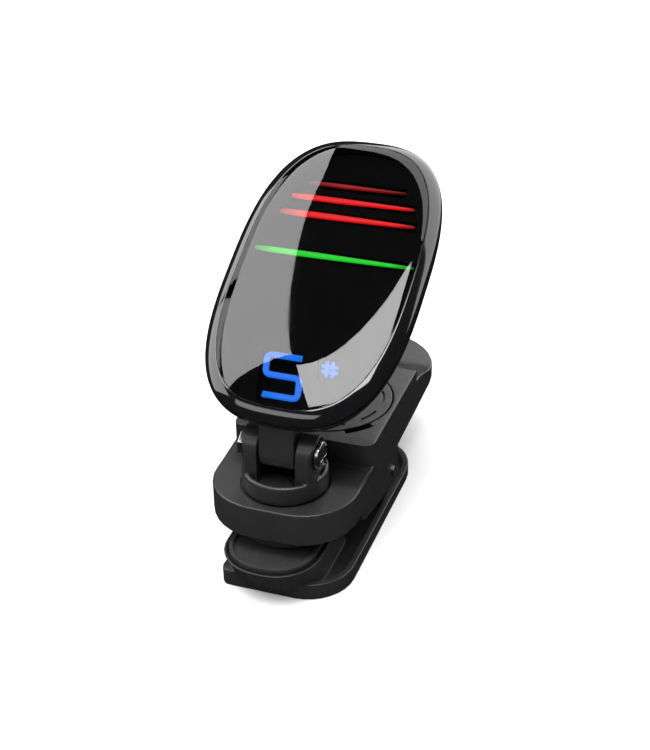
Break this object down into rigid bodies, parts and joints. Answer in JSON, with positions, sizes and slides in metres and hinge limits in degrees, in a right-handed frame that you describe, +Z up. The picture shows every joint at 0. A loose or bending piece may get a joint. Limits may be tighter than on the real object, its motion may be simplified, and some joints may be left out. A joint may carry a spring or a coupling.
{
  "type": "clip-on tuner",
  "caption": "Clip-on instrument tuner: sprung padded clip, round battery cap, swivelling and tilting fork, and a pebble-shaped glossy head with lit bars and a note digit.",
  "frame": {"origin": "on the flat underside of the lower arm, straight below the clip's hinge pin", "axes": "+X to the right, -Y towards the jaw, +Y towards the thumb tails, +Z up from the underside"},
  "size_m": [0.0342, 0.0701, 0.0576],
  "materials": {
    "clip_plastic": "satin black moulded plastic",
    "pad_rubber": "matte black rubber",
    "steel": "plated steel",
    "brass": "thin brass disc",
    "head_gloss": "high-gloss black plastic",
    "window": "high-gloss dark window",
    "light_green": "lit green",
    "light_red": "lit red",
    "light_blue": "lit blue",
    "board": "green circuit board"
  },
  "bodies": {
    "lower_arm": {"lower_arm": "clip_plastic", "lower_pad": "pad_rubber", "hinge_pin": "steel", "torsion_spring": "steel"},
    "upper_arm": {"upper_arm_shell": "clip_plastic", "upper_arm_base": "clip_plastic", "upper_pad": "pad_rubber", "base_screw_left": "steel", "base_screw_right": "steel", "battery_tray": "clip_plastic", "coin_cell": "steel", "contact_positive": "steel", "contact_negative": "steel", "piezo_sensor": "brass"},
    "battery_cover": {"battery_cover": "clip_plastic"},
    "swivel_fork": {"swivel_yoke": "clip_plastic", "swivel_washer": "steel", "swivel_screw": "steel", "tilt_screw": "steel", "tilt_nut": "steel"},
    "head": {"head_rear_shell": "head_gloss", "head_bezel": "head_gloss", "display_lens": "window", "light_frame": "head_gloss", "meter_bar_green": "light_green", "meter_bar_red_1": "light_red", "meter_bar_red_2": "light_red", "meter_bar_red_3": "light_red", "note_digit": "light_blue", "note_sharp": "light_blue", "circuit_board": "board", "controller_chip": "clip_plastic", "button_switch": "steel", "head_screw_1": "steel", "head_screw_2": "steel", "head_screw_3": "steel", "head_screw_4": "steel"},
    "power_button": {"power_button": "pad_rubber"}
  },
  "joints": [
    {"name": "clip_open", "type": "hinge", "parent": "lower_arm", "child": "upper_arm", "pos_m": [0, 0, 0.007], "axis": [-1, 0, 0], "range_deg": [0, 24], "stiffness_Nm_per_rad": 0.03, "springref_deg": -20.05, "deforming": ["torsion_spring"]},
    {"name": "cover_turn", "type": "hinge", "parent": "upper_arm", "child": "battery_cover", "pos_m": [0, 0, 0.0195], "axis": [0, 0, 1], "range_deg": [0, 45]},
    {"name": "fork_swivel", "type": "hinge", "parent": "upper_arm", "child": "swivel_fork", "pos_m": [0, -0.0211, 0.016], "axis": [0, 0, 1], "range_deg": [-170, 170]},
    {"name": "head_tilt", "type": "hinge", "parent": "swivel_fork", "child": "head", "pos_m": [0, -0.0222, 0.023], "axis": [-1, 0, 0], "range_deg": [-70, 26]},
    {"name": "button_press", "type": "slide", "parent": "head", "child": "power_button", "axis": [0, -0.4664, 0.8846], "range_m": [0, 0.00025], "stiffness_N_per_m": 400, "springref_m": -0.0005}
  ]
}
